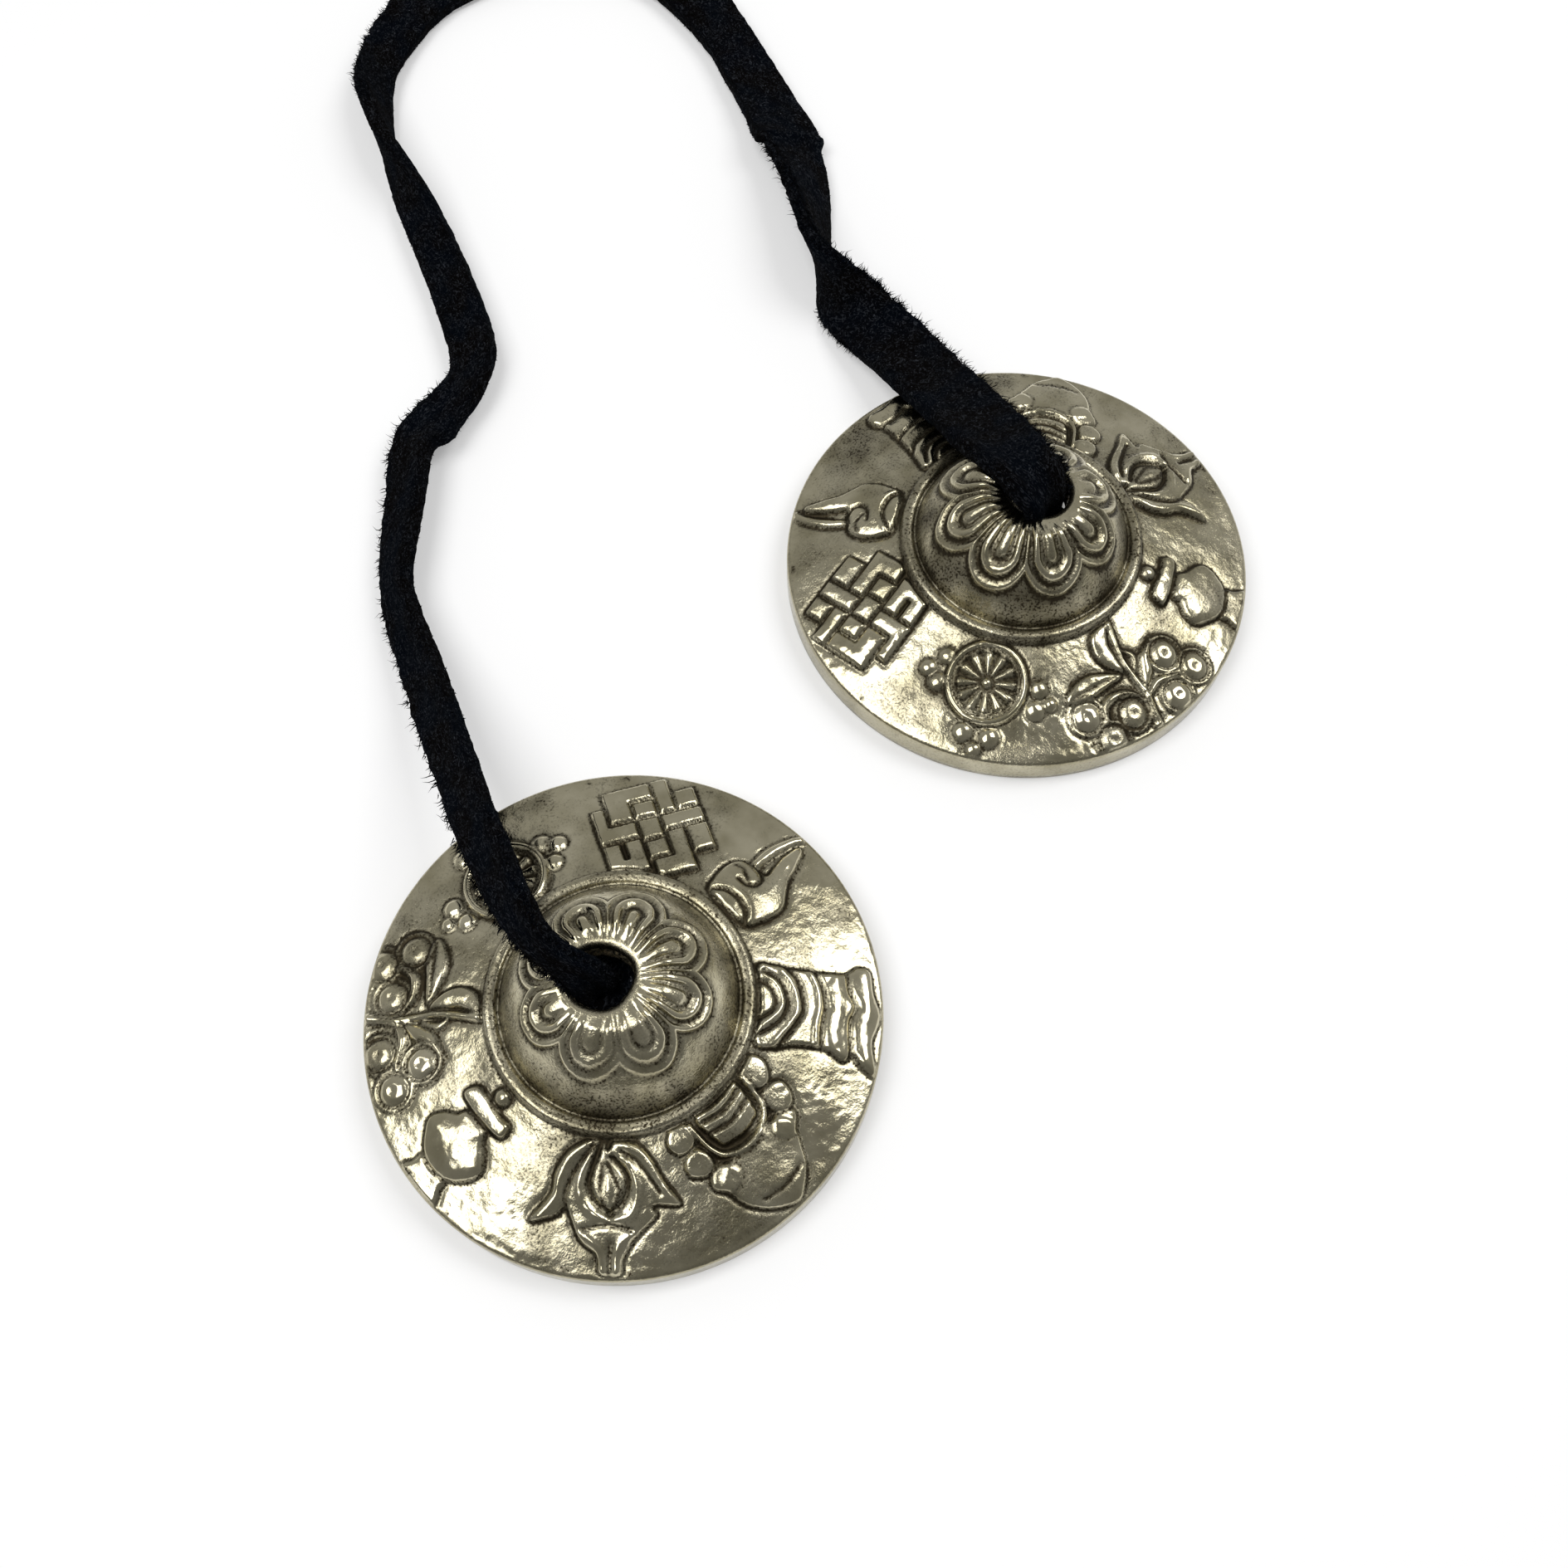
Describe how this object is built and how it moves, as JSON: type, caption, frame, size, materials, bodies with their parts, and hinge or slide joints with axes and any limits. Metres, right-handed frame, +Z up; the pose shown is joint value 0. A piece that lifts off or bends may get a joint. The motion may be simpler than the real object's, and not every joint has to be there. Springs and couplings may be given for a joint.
{
  "type": "tingsha cymbals",
  "caption": "Pair of small cast bronze hand cymbals with raised ornament, knotted to the ends of one flat suede strap and struck rim to rim.",
  "frame": {"origin": "on the table midway between the two rims: the centre of the bottom of the box round both castings, without the strap", "axes": "+X from the left cymbal to the right one, +Y towards the loop of the strap, +Z up from the table"},
  "size_m": [0.1829, 0.1813, 0.0257],
  "materials": {
    "cast_bronze": "cast bell bronze, brushed bright on the raised work, dark patina in the recesses",
    "suede": "black suede, fuzzy nap and cut edges"
  },
  "bodies": {
    "left_hanger": {"left_knot": "suede", "left_strap_end": "suede"},
    "left_cymbal": {"left_cymbal": "cast_bronze"},
    "left_leg": {"left_strap_rise": "suede", "left_strap_leg": "suede"},
    "right_leg": {"strap_loop": "suede", "right_strap_leg": "suede", "right_strap_rise": "suede"},
    "right_hanger": {"right_knot": "suede", "right_strap_end": "suede"},
    "right_cymbal": {"right_cymbal": "cast_bronze"}
  },
  "joints": [
    {"name": "left_spin", "type": "hinge", "parent": "left_hanger", "child": "left_cymbal", "pos_m": [-0.04317, 0.0009, 0], "axis": [0, 0, 1], "continuous": true},
    {"name": "left_tilt", "type": "hinge", "parent": "left_hanger", "child": "left_leg", "pos_m": [-0.04317, 0.0009, 0.0205], "axis": [0.9239, -0.3827, 0], "range_deg": [0, 60], "deforming": ["left_strap_rise"]},
    {"name": "strap_flex", "type": "hinge", "parent": "left_leg", "child": "right_leg", "pos_m": [0.0937, 0.1342, 0.00135], "axis": [0, 0, 1], "range_deg": [-8, 40], "deforming": ["strap_loop"]},
    {"name": "right_tilt", "type": "hinge", "parent": "right_leg", "child": "right_hanger", "pos_m": [0.04308, -0.0008, 0.0205], "axis": [-0.9239, 0.3827, 0], "range_deg": [0, 60], "deforming": ["right_strap_rise"]},
    {"name": "right_spin", "type": "hinge", "parent": "right_hanger", "child": "right_cymbal", "pos_m": [0.04308, -0.0008, 0], "axis": [0, 0, 1], "continuous": true}
  ],
  "couplings": [
    {"joint": "right_tilt", "follows": "left_tilt", "ratio": 1}
  ]
}
